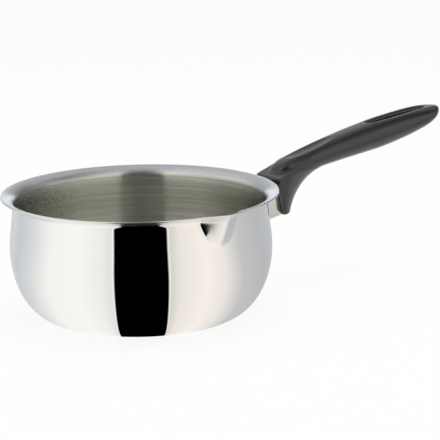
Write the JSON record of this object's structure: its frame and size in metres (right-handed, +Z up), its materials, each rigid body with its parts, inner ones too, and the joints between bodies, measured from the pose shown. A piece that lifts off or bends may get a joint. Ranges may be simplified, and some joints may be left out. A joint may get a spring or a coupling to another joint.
{
  "type": "saucepan",
  "caption": "Stainless steel saucepan with a rounded belly, flared rim and pouring lip, and a black moulded handle screwed to a bracket welded to the wall.",
  "frame": {"origin": "middle of the flat base, on the surface that the pan stands on", "axes": "+Z up along the bowl's axis, +X along the handle, the pouring lip towards -Y"},
  "size_m": [0.3789, 0.2021, 0.1211],
  "materials": {
    "outer_steel": "mirror polished stainless steel",
    "core_aluminium": "bare aluminium, seen only at the cut edge of the rim",
    "inner_steel": "satin stainless steel brushed round the bowl",
    "bracket_steel": "polished stainless steel",
    "fastener_steel": "plain stainless steel",
    "grip_phenolic": "satin black moulded phenolic"
  },
  "bodies": {
    "root": {"outer_steel_ply": "outer_steel", "aluminium_core_ply": "core_aluminium", "inner_steel_ply": "inner_steel", "handle_bracket": "bracket_steel", "weld_nut": "fastener_steel", "handle_grip": "grip_phenolic", "handle_screw": "fastener_steel", "spring_washer": "fastener_steel", "flat_washer": "fastener_steel"}
  },
  "joints": []
}
